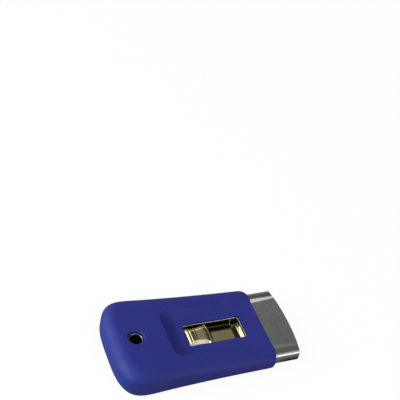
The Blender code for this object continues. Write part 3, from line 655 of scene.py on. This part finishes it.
def grip_ring(turn, upper, grip):
    """A ring round the grip: turn is 0 degrees on its wall and 90 on its top or its underside."""
    drawn_in = 1 - math.cos(math.radians(turn))
    away = 1 - math.sin(math.radians(turn))
    side_height = tail_height = grip.underside_round
    side_inset = tail_inset = grip.underside_round * drawn_in
    if upper:
        side_height = (grip.front_height - grip.underside_round) * grip.top_round_share
        side_inset = grip.top_round_width * drawn_in
        tail_height = grip.tail_round_height
        tail_inset = grip.tail_round_width * drawn_in

    def level(x, height):
        return grip_top_z(x, grip) - height * away if upper else height * away

    corner = grip.front_corner * (1 - drawn_in / 2)
    side_x = grip_high.x - corner
    corner_half = grip_half_width(side_x, grip) - side_inset - corner
    front_steps, corner_steps, side_steps, tail_steps = 8, 10, 30, 36
    half = []
    for step in range(front_steps):
        half.append((grip_high.x, corner_half * step / front_steps, level(grip_high.x, side_height)))
    for x, y in arc((side_x, corner_half), (corner, corner), 0, 90, corner_steps):
        half.append((x, y, level(x, side_height)))
    tail_start_x = grip_low.x + grip.tail_depth
    for step in range(1, side_steps):
        x = blend(side_x, tail_start_x, step / side_steps)
        half.append((x, grip_half_width(x, grip) - side_inset, level(x, side_height)))
    tail_half = grip_half_width(tail_start_x, grip) - side_inset
    tail_depth = grip.tail_depth - tail_inset
    for step in range(tail_steps + 1):
        angle = math.pi / 2 * step / tail_steps
        x = tail_start_x - tail_depth * math.sin(angle) ** (2 / grip.tail_power)
        y = tail_half * max(math.cos(angle), 0) ** (2 / grip.tail_power) if step < tail_steps else 0
        share = math.sin(angle) ** 2
        half.append((x, y, level(x, blend(side_height, tail_height, share))))
    return mirrored(half)


def recess_half(front_half, rear_half, end_x, corner):
    """Half of the thumb recess in plan, from past the grip's front to its closed end."""
    front_x = grip_high.x + OVERRUN
    corner_x = end_x + corner
    side_steps, corner_steps = 24, 16
    points = []
    for step in range(side_steps + 1):
        share = step / side_steps
        points.append((blend(front_x, corner_x, share), blend(front_half, rear_half, share)))
    points += arc((corner_x, rear_half - corner), (corner, corner), 90, 180, corner_steps)[1:]
    points.append((end_x, 0))
    return points


def recess_shape(grip, recess):
    """What the thumb recess takes out: hollow walls from the level floor up to a rolled rim."""
    window_rear_x = grip_high.x - recess.window_setback - recess.window_length
    floor_end_x = window_rear_x - recess.shelf
    rim_end_x = floor_end_x - recess.rear_run
    front, rear, roll = recess.rim_front_width / 2, recess.rim_rear_width / 2, recess.rim_roll
    floor_front, floor_rear = recess.floor_front_width / 2, recess.floor_rear_width / 2
    floor = recess_half(floor_front, floor_rear, floor_end_x, recess.floor_corner)
    rim = recess_half(front, rear, rim_end_x, recess.rim_corner)
    rolled = recess_half(front + roll, rear + roll, rim_end_x - roll, recess.rim_corner + roll)

    def ring(first, second, share, level):
        half = []
        for (first_x, first_y), (second_x, second_y) in zip(first, second):
            x = blend(first_x, second_x, share)
            half.append((x, blend(first_y, second_y, share), level(x, share)))
        return mirrored(half)

    def wall_z(x, share):
        rise = grip_top_z(x, grip) - recess.rim_drop - recess.floor_z
        return recess.floor_z + rise * share**recess.hollow_power

    def roll_z(x, share):
        return grip_top_z(x, grip) - recess.rim_drop * (1 - share) ** 2

    wall_steps, roll_steps = 12, 5
    rings = [ring(floor, rim, step / wall_steps, wall_z) for step in range(wall_steps + 1)]
    rings += [ring(rim, rolled, step / roll_steps, roll_z) for step in range(1, roll_steps + 1)]
    rings.append([(x, y, z + OVERRUN) for x, y, z in rings[-1]])
    return loft(rings)


def sheath_half_path(sheath, grow, taper=0):
    """Half of the sheath's outer section, grown by a clearance: the step is lowest at a taper of 1."""
    half = sheath_high.y + grow
    bend = sheath.bend + grow
    low_bend = sheath.low_bend + grow
    high = sheath_high.z + grow
    low = sheath_low.z - grow
    round_y = sheath.step_round
    outer = sheath_high.y - sheath.strip_width
    width = blend(sheath.step_width, sheath.nose_step_width, taper)
    slope = sheath.step_drop / sheath.step_width
    strip_z = high - sheath.step_drop
    top_z = strip_z + width * slope
    flat_steps, step_steps, bend_steps = 12, 6, 10
    flat = outer - width - round_y
    path = [(flat * step / flat_steps, top_z) for step in range(flat_steps + 1)]
    for step in range(step_steps + 1):
        y = blend(outer - width + round_y, outer - round_y, step / step_steps)
        path.append((y, strip_z + (outer - y) * slope))
    path.append((outer + round_y, strip_z))
    path += arc((half - bend, strip_z - bend), (bend, bend), 90, 0, bend_steps)
    path += arc((half - low_bend, low + low_bend), (low_bend, low_bend), 0, -90, bend_steps)
    return path


def window_outline(recess, grow=0.0, front_grow=0.0):
    """The window in plan, grown all round but at the front."""
    front_x = grip_high.x - recess.window_setback
    half = recess.window_width / 2 + grow
    low = (front_x - recess.window_length - grow, -half)
    corner_steps = 8
    return rounded_rectangle(low, (front_x + front_grow, half), recess.window_corner + grow, corner_steps)


def hang_hole_shape(grip, hang):
    """What the hang hole takes out of the grip: the flange's seat, bore, ledge and rounded mouth."""
    outer = hang.bore_radius + hang.wall
    bore = outer + hang.clearance
    mouth = bore + hang.lip
    seat = outer + hang.flange + 2 * hang.clearance
    ledge = eyelet_high.z - hang.lip_height - hang.clearance
    turn_steps, flare_steps = 64, 8
    rings = []
    levels = ((seat, -OVERRUN), (seat, sheath_low.z), (bore, sheath_low.z), (bore, ledge), (mouth, ledge))
    for radius, z in levels:
        rings.append([(x, y, z) for x, y in circle(hang.center_x, radius, turn_steps)])
    flare = arc((mouth + hang.flare, -hang.flare), (-hang.flare, hang.flare), 0, 90, flare_steps)
    for radius, depth in flare + [(mouth + hang.flare, OVERRUN)]:
        outline = circle(hang.center_x, radius, turn_steps)
        rings.append([(x, y, grip_top_z(x, grip) + depth) for x, y in outline])
    return loft(rings)


class SCRAPER_OT_build_grip(bpy.types.Operator):
    """Moulds the grip: a wedge with rounded sides, a thumb recess, a window, a pocket and a hang hole"""

    bl_idname = "scraper.build_grip"
    bl_label = "Build grip"
    bl_options = {"REGISTER", "UNDO"}

    def execute(self, context):
        scene = context.scene
        grip, recess = scene.scraper_grip, scene.scraper_recess
        sheath, hang = scene.scraper_sheath, scene.scraper_hang_hole
        lower_steps, upper_steps = 8, 16
        rings = [grip_ring(90 * step / lower_steps, False, grip) for step in range(lower_steps, -1, -1)]
        rings += [grip_ring(90 * step / upper_steps, True, grip) for step in range(upper_steps + 1)]
        shell = new_object("grip_moulding", loft(rings))
        cut(shell, recess_shape(grip, recess))
        rear_x = sheath_low.x - sheath.pocket_gap
        half = sheath_half_path(sheath, sheath.pocket_gap)
        section = half + [(-y, z) for y, z in reversed(half) if y > 0]
        cut(shell, loft([[(x, y, z) for y, z in section] for x in (rear_x, grip_high.x + OVERRUN)]))
        low_z = sheath_high.z - sheath.sheet
        opening = window_outline(recess, recess.skin_reveal, recess.front_reveal)
        cut(shell, prism(opening, low_z, grip.front_height))
        cut(shell, hang_hole_shape(grip, hang))
        break_edges(shell, grip.edge_round, segments=3)
        finish_piece(shell, "grip", "grip_body", "grip_blue", moulding_finish(scene.scraper_finish))
        return {"FINISHED"}


class SCRAPER_OT_build_sheath(bpy.types.Operator):
    """Folds the sheath from one sheet, with its window, its click holes and its bowed nose"""

    bl_idname = "scraper.build_sheath"
    bl_label = "Build sheath"
    bl_options = {"REGISTER", "UNDO"}

    def execute(self, context):
        scene = context.scene
        sheath, recess, hang = scene.scraper_sheath, scene.scraper_recess, scene.scraper_hang_hole
        rows = []
        for x, taper in ((sheath_low.x, 0), (grip_high.x, 0), (sheath_high.x, 1)):
            half = sheath_half_path(sheath, 0, taper) + [(sheath.seam / 2, sheath_low.z)]
            section = [(-y, z) for y, z in reversed(half) if y > 0] + half
            rows.append([(x - taper * sheath.nose_bow * (y / sheath_high.y) ** 2, y, z) for y, z in section])
        sleeve = new_object("sheath_sleeve", sheet_loft(rows))
        thicken(sleeve, sheath.sheet, True)
        low_z = sheath_high.z - sheath.sheet - OVERRUN
        cut(sleeve, prism(window_outline(recess), low_z, sheath_high.z + OVERRUN))
        radius = hang.bore_radius + hang.wall + hang.clearance
        cut(sleeve, prism(circle(hang.center_x, radius, HOLE_STEPS), 0, sheath_high.z + OVERRUN))
        nib_x = click_high.x - sheath.click_setback
        for x in (nib_x, nib_x + sheath.slide_travel):
            outline = circle(x, sheath.click_radius, HOLE_STEPS)
            cut(sleeve, prism(outline, 0, sheath_low.z + 2 * sheath.sheet))
        break_edges(sleeve, sheath.edge_break)
        material = sheath_finish(scene.scraper_finish, sheath)
        finish_piece(sleeve, "sheath", "grip_body", "sheath_steel", material)
        return {"FINISHED"}


class SCRAPER_OT_build_eyelet(bpy.types.Operator):
    """Turns the hang hole's tube rivet, with a rolled lip and a flange"""

    bl_idname = "scraper.build_eyelet"
    bl_label = "Build eyelet"
    bl_options = {"REGISTER", "UNDO"}

    def execute(self, context):
        scene = context.scene
        hang = scene.scraper_hang_hole
        inner = hang.bore_radius
        outer = inner + hang.wall
        top, low = eyelet_high.z, eyelet_low.z
        roll = (hang.wall + hang.lip) / 2
        flange_top = low + hang.wall
        lip_steps, flange_steps, turn_steps = 14, 6, 72
        profile = arc((inner + roll, top - roll), (roll, roll), 180, -30, lip_steps)
        profile += [(outer, top - 2 * roll), (outer, flange_top)]
        round_radius = hang.wall / 2
        round_center = (outer + hang.flange - round_radius, low + round_radius)
        profile += arc(round_center, (round_radius, round_radius), 90, -90, flange_steps)
        profile.append((inner, low))
        ring = new_object("eyelet_ring", spun(profile, hang.center_x, turn_steps))
        settings = scene.scraper_finish
        steel = settings.eyelet_colour
        finish = brushed("eyelet_steel", steel, roughness=0.28, stretch=(1, 1, 6), grain=3500, depth=0.15)
        # Painted shade: the tube is darkened below its lip, where shade falls in the bore
        finish.shade(settings.painted_tube_shade, finish.spread(finish.axis("Z"), top - roll, top - 4 * roll))
        finish_piece(ring, "hang_hole_eyelet", "grip_body", "eyelet_steel", finish.material)
        return {"FINISHED"}


def thumb_side_profile(thumb):
    """The thumb piece's side view from its rear foot over the ribs and the groove to the lip's foot."""
    top = thumb_high.z
    base = top - thumb.rise
    rear_x = thumb_low.x
    round_x = rear_x + thumb.rear_slope
    points = [(rear_x, base)]
    slope_steps, rib_steps, fall_steps, groove_steps, lip_steps = 6, 90, 6, 12, 18
    for step in range(slope_steps + 1):
        share = step / slope_steps
        points.append((blend(rear_x, round_x, share), blend(top - thumb.rear_drop, top, share)))
    pitch = thumb.rib_length / thumb.rib_count
    groove_x = rear_x + thumb.rib_length
    for step in range(1, rib_steps):
        x = blend(round_x, groove_x, step / rib_steps)
        fade = max(1 - thumb.rib_fade * (x - rear_x) / thumb.rib_length, 0)
        wave = (1 - math.cos(math.tau * (x - round_x) / pitch)) / 2
        points.append((x, top - thumb.rib_height * wave * fade))
    crest_z = top - thumb.crest_drop
    low_z = top - thumb.groove_depth
    fall_x = groove_x + thumb.groove_fall
    crest_x = groove_x + thumb.groove
    points += arc((groove_x, low_z), (thumb.groove_fall, top - low_z), 90, 0, fall_steps)
    for step in range(1, groove_steps + 1):
        share = step / groove_steps
        points.append((blend(fall_x, crest_x, share), blend(low_z, crest_z, math.sin(math.pi / 2 * share))))
    lip_radii = (thumb_high.x - crest_x, crest_z - base)
    points += arc((crest_x, base), lip_radii, 90, 0, lip_steps)[1:]
    return points, groove_x


class SCRAPER_OT_build_thumb_piece(bpy.types.Operator):
    """Forms the ribbed thumb piece: a saddle with sloping sides, a groove and a full-width lip"""

    bl_idname = "scraper.build_thumb_piece"
    bl_label = "Build thumb piece"
    bl_options = {"REGISTER", "UNDO"}

    def execute(self, context):
        scene = context.scene
        thumb = scene.scraper_thumb
        profile, groove_x = thumb_side_profile(thumb)
        base = thumb_high.z - thumb.rise
        middle_x = thumb_low.x + thumb.rib_length / 2

        def half_width(x):
            off_middle = (x - middle_x) / (thumb.rib_length / 2)
            return thumb_high.y - thumb.waist / 2 * max(1 - off_middle**2, 0)

        def saddle_share(x):
            return min(max((groove_x + thumb.groove - x) / thumb.groove, 0), 1)

        def flank_share(x, y):
            return saddle_share(x) * max(abs(y) - (half_width(x) - thumb.flank), 0) / thumb.flank

        def section(side, foot=False):
            points = []
            for x, z in profile:
                y = half_width(x) * side
                drop = thumb.flank_drop * flank_share(x, y)
                lip = (1 - saddle_share(x)) * side**2
                crown = lip * thumb.lip_crown
                share = (z - base) / thumb.rise
                points.append((x - lip * thumb.lip_bow, y, base if foot else z - (drop + crown) * share))
            return points

        side_steps, level_steps = 10, 8
        level_share = level_steps / side_steps
        middle = [step / side_steps for step in range(-level_steps, level_steps + 1)]
        turns = [math.pi / 2 * step / side_steps for step in range(1, side_steps + 1)]
        flank = [blend(level_share, 1, math.sin(turn)) for turn in turns]
        sides = [-share for share in reversed(flank)] + middle + flank
        feet = [section(side, True) for side in (sides[0], sides[-1])]
        bm = sheet_loft([feet[0]] + [section(side) for side in sides] + [feet[1]])
        # Painted highlight: marks the near flank for a light cream tint
        painted_flank_highlight = bm.verts.layers.float.new("painted_flank_highlight")
        painted_flank_highlight_from = 0.1
        for vert in bm.verts:
            vert[painted_flank_highlight] = min(flank_share(vert.co.x, vert.co.y) / painted_flank_highlight_from, 1) if vert.co.y < 0 else 0
        saddle = new_object("thumb_saddle", bm)
        thicken(saddle, thumb.sheet, False)
        settings = scene.scraper_finish
        gold, along = scaled(settings.gold_colour, 1.1), (1, 12, 1)
        satin = brushed("satin_gold_plating", gold, roughness=0.18, stretch=along, grain=5200, depth=0.08)
        # Painted highlight: a light matt cream on the near flank only, where bright light falls on it
        satin.paint_tint("painted_flank_highlight", settings.painted_flank_highlight_colour, roughness=0.36)
        finish_piece(saddle, "thumb_piece", "carriage", "carriage_gold", satin.material, sharp_degrees=50)
        return {"FINISHED"}


def node_shape(node):
    """A node's mesh with its loose triangles merged and its flat faces joined."""
    bm = bmesh.new()
    bm.from_mesh(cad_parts[node].data)
    bmesh.ops.remove_doubles(bm, verts=bm.verts, dist=MERGE_DISTANCE)
    bmesh.ops.dissolve_limit(bm, angle_limit=math.radians(FLAT_DEGREES), verts=bm.verts, edges=bm.edges)
    return bm


def slice_shape(bm, point, normal):
    """Cuts a shape's faces along a plane, without parting them."""
    bmesh.ops.bisect_plane(bm, geom=[*bm.verts, *bm.edges, *bm.faces], plane_co=point, plane_no=normal)


def refined_copy(name, node, width):
    """A copy of a node's mesh with its edges rounded."""
    piece = new_object(name, node_shape(node))
    break_edges(piece, width)
    return piece


class SCRAPER_OT_build_carriage(bpy.types.Operator):
    """Narrows the slide carriage's tray, hollows its ramp, and gives it rounded edges and gold plating"""

    bl_idname = "scraper.build_carriage"
    bl_label = "Build slide carriage"
    bl_options = {"REGISTER", "UNDO"}

    def execute(self, context):
        scene = context.scene
        carriage = scene.scraper_carriage
        bm = node_shape("slide_carriage")
        run = carriage.knee_run + carriage.steep_run
        slices = 24
        for step in range(slices + 1):
            slice_shape(bm, (carriage.ramp_start + run * step / slices, 0, 0), (1, 0, 0))
        for y in (carriage.tray_half, carriage.tray_half + carriage.ramp_fade):
            slice_shape(bm, (0, y, 0), (0, 1, 0))
            slice_shape(bm, (0, -y, 0), (0, 1, 0))
        tray_z = carriage_high.z - carriage.tray_depth
        for vert in bm.verts:
            aside = min(max((abs(vert.co.y) - carriage.tray_half) / carriage.ramp_fade, 0), 1)
            along = vert.co.x - carriage.ramp_start
            gentle = min(max(along / carriage.knee_run, 0), 1) * carriage.knee_rise
            steep = min(max((along - carriage.knee_run) / carriage.steep_run, 0), 1)
            straight = min(max((vert.co.x - carriage.straight_start) / carriage.straight_run, 0), 1)
            rise = gentle + steep * (carriage.tray_depth - carriage.knee_rise)
            is_tray = vert.co.x < carriage.straight_start + SLACK
            if is_tray and vert.co.z > tray_z + carriage.wall_top:
                vert.co.z += carriage.wall_growth
            if abs(vert.co.y) > carriage.floor_half and (is_tray or straight < 1 and aside < 1):
                vert.co.y -= math.copysign(carriage.wall_shift * (1 - straight), vert.co.y)
            vert.co.z += (rise - straight * carriage.tray_depth) * (1 - aside)
        piece = new_object("carriage_channel", bm)
        break_edges(piece, carriage.edge_break)
        plating = tray_finish(scene.scraper_finish, carriage)
        finish_piece(piece, "slide_carriage", "carriage", "carriage_gold", plating)
        return {"FINISHED"}


class SCRAPER_OT_build_blade(bpy.types.Operator):
    """Dresses the single-edge blade and the folded back that grips it"""

    bl_idname = "scraper.build_blade"
    bl_label = "Build blade"
    bl_options = {"REGISTER", "UNDO"}

    def execute(self, context):
        scene = context.scene
        steel, settings = scene.scraper_finish.blade_colour, scene.scraper_blade
        along, across = (40, 1, 1), (1, 30, 1)
        ground = brushed("ground_blade_steel", steel, roughness=0.22, stretch=along, grain=6000, depth=0.2)
        rolled = brushed("rolled_back_steel", steel, roughness=0.3, stretch=across, grain=4500, depth=0.2)
        blade = refined_copy("blade_leaf", "blade", settings.leaf_edge)
        finish_piece(blade, "blade", "carriage", "blade_steel", ground.material, sharp_degrees=4)
        spine = refined_copy("blade_back", "blade_spine", settings.back_edge)
        finish_piece(spine, "blade_spine", "carriage", "blade_steel", rolled.material)
        return {"FINISHED"}


class SCRAPER_OT_build_small_parts(bpy.types.Operator):
    """Dresses the bow spring, the click spring and the rivets"""

    bl_idname = "scraper.build_small_parts"
    bl_label = "Build springs and rivets"
    bl_options = {"REGISTER", "UNDO"}

    def execute(self, context):
        scene = context.scene
        blue, grey = scene.scraper_finish.spring_colour, scene.scraper_finish.blade_colour
        blued = brushed("blued_spring_steel", blue, roughness=0.3, stretch=(30, 1, 1), grain=4500, depth=0.2)
        bright = brushed("rivet_steel", grey, roughness=0.26, stretch=(1, 1, 1), grain=3000, depth=0.1)
        pieces = (
            ("bow_spring", "blade_clip", "carriage", "spring_steel", blued),
            ("click_leaf_spring", "click_spring", "click_leaf", "spring_steel", blued),
            ("bow_spring_rivet", "clip_rivet", "carriage", "blade_steel", bright),
            ("click_leaf_rivet", "click_rivet", "carriage", "blade_steel", bright),
        )
        for name, node, body, slot, finish in pieces:
            piece = refined_copy(name, node, scene.scraper_blade.small_edge)
            finish_piece(piece, node, body, slot, finish.material)
        return {"FINISHED"}


def add_lamp(name, spot, size, power, tint):
    """A large soft lamp that points at the tool."""
    lamp = bpy.data.lights.new(name, "AREA")
    lamp.shape = "DISK"
    lamp.size = size
    lamp.energy = power
    lamp.color = tint
    obj = bpy.data.objects.new(name, lamp)
    obj.location = spot
    obj.rotation_euler = Vector(spot).to_track_quat("Z", "Y").to_euler()
    bpy.context.scene.collection.objects.link(obj)
    return obj


def build_world(scene, stage):
    """Soft surroundings: white for the camera, and broad lighter and darker areas for the light."""
    world = bpy.data.worlds.new("studio")
    scene.world = world
    world.use_nodes = True
    nodes = Nodes(world.node_tree)
    direction = nodes.add("ShaderNodeTexCoord").outputs["Generated"]
    light = (stage.world_level,) * 3
    for toward, edge, core, value in SURROUNDINGS:
        dot = nodes.add("ShaderNodeVectorMath")
        dot.operation = "DOT_PRODUCT"
        nodes.feed(dot.inputs[0], direction)
        nodes.feed(dot.inputs[1], Vector(toward).normalized())
        share = nodes.spread(dot.outputs["Value"], edge, core, easing="SMOOTHSTEP")
        light = nodes.mix(share, light, value)
    background = world.node_tree.nodes["Background"]
    nodes.feed(background.inputs["Color"], light)
    white = nodes.add("ShaderNodeBackground", Color=(1, 1, 1))
    outputs = [node.outputs["Background"] for node in (background, white)]
    nodes.choose(nodes.camera_ray(), *outputs, "World Output")


def floor_finish(settings):
    """Pale floor: white with a soft shadow for the camera, and mid-grey for what the tool reflects."""
    finish = Finish("pale_floor", settings.floor_colour, metallic=0, roughness=0.9)
    ray = finish.camera_ray()
    mottle = finish.noise(scale=30, detail=3)
    pale = finish.mix(mottle, settings.floor_colour, scaled(settings.floor_colour, 0.98))
    finish.drive("Base Color", finish.mix(ray, settings.floor_shade, pale))
    finish.bump(finish.noise(scale=900, detail=2), strength=0.04, distance=0.0001)
    glow = finish.add("ShaderNodeEmission", Color=(1, 1, 1))
    share = finish.combine("MULTIPLY", ray, settings.floor_glow)
    finish.choose(share, finish.shader.outputs["BSDF"], glow.outputs["Emission"], "Material Output")
    return finish.material


class SCRAPER_OT_build_stage(bpy.types.Operator):
    """Sets the pale floor, the soft light and the camera"""

    bl_idname = "scraper.build_stage"
    bl_label = "Build stage"
    bl_options = {"REGISTER", "UNDO"}

    def execute(self, context):
        scene = context.scene
        stage = scene.scraper_stage
        bm = bmesh.new()
        bmesh.ops.create_grid(bm, x_segments=4, y_segments=4, size=stage.floor_reach)
        floor = new_object("floor", bm)
        floor.data.materials.append(floor_finish(scene.scraper_finish))
        build_world(scene, stage)
        add_lamp("key_lamp", stage.key_place, stage.key_size, stage.key_power, stage.key_tint)
        fill = add_lamp("fill_lamp", stage.fill_place, stage.fill_size, stage.fill_power, stage.fill_tint)
        fill.visible_glossy = False
        lens = bpy.data.cameras.new("camera")
        lens.lens = stage.focal_length
        lens.shift_y = stage.lens_shift
        camera = bpy.data.objects.new("camera", lens)
        camera.location = stage.camera_place
        camera.rotation_euler = stage.camera_turn
        scene.collection.objects.link(camera)
        scene.camera = camera
        scene.view_settings.view_transform = "Standard"
        return {"FINISHED"}


class SCRAPER_PT_panel(bpy.types.Panel):
    """Lists the operators of the scraper"""

    bl_idname = "SCRAPER_PT_panel"
    bl_label = "Pocket scraper"
    bl_space_type = "VIEW_3D"
    bl_region_type = "UI"
    bl_category = "Scraper"

    def draw(self, context):
        for operator in OPERATORS:
            self.layout.operator(operator.bl_idname)
        for name, _ in SETTINGS:
            settings = getattr(context.scene, name)
            box = self.layout.box()
            box.label(text=settings.bl_rna.description)
            for key in settings.bl_rna.properties.keys():
                if key not in ("rna_type", "name"):
                    box.prop(settings, key)


OPERATORS = (
    SCRAPER_OT_build_grip,
    SCRAPER_OT_build_sheath,
    SCRAPER_OT_build_eyelet,
    SCRAPER_OT_build_thumb_piece,
    SCRAPER_OT_build_carriage,
    SCRAPER_OT_build_blade,
    SCRAPER_OT_build_small_parts,
    SCRAPER_OT_build_stage,
)
SETTINGS = (
    ("scraper_grip", GripSettings),
    ("scraper_recess", RecessSettings),
    ("scraper_sheath", SheathSettings),
    ("scraper_hang_hole", HangHoleSettings),
    ("scraper_carriage", CarriageSettings),
    ("scraper_thumb", ThumbSettings),
    ("scraper_blade", BladeSettings),
    ("scraper_finish", FinishSettings),
    ("scraper_stage", StageSettings),
)


def register():
    for name, group in SETTINGS:
        bpy.utils.register_class(group)
        setattr(bpy.types.Scene, name, PointerProperty(type=group))
    for operator in OPERATORS:
        bpy.utils.register_class(operator)
    bpy.utils.register_class(SCRAPER_PT_panel)


def unregister():
    bpy.utils.unregister_class(SCRAPER_PT_panel)
    for operator in reversed(OPERATORS):
        bpy.utils.unregister_class(operator)
    for name, group in reversed(SETTINGS):
        delattr(bpy.types.Scene, name)
        bpy.utils.unregister_class(group)


def main():
    register()
    bpy.ops.scraper.build_grip()
    bpy.ops.scraper.build_sheath()
    bpy.ops.scraper.build_eyelet()
    bpy.ops.scraper.build_thumb_piece()
    bpy.ops.scraper.build_carriage()
    bpy.ops.scraper.build_blade()
    bpy.ops.scraper.build_small_parts()
    bpy.ops.scraper.build_stage()


if __name__ == "__main__":
    main()
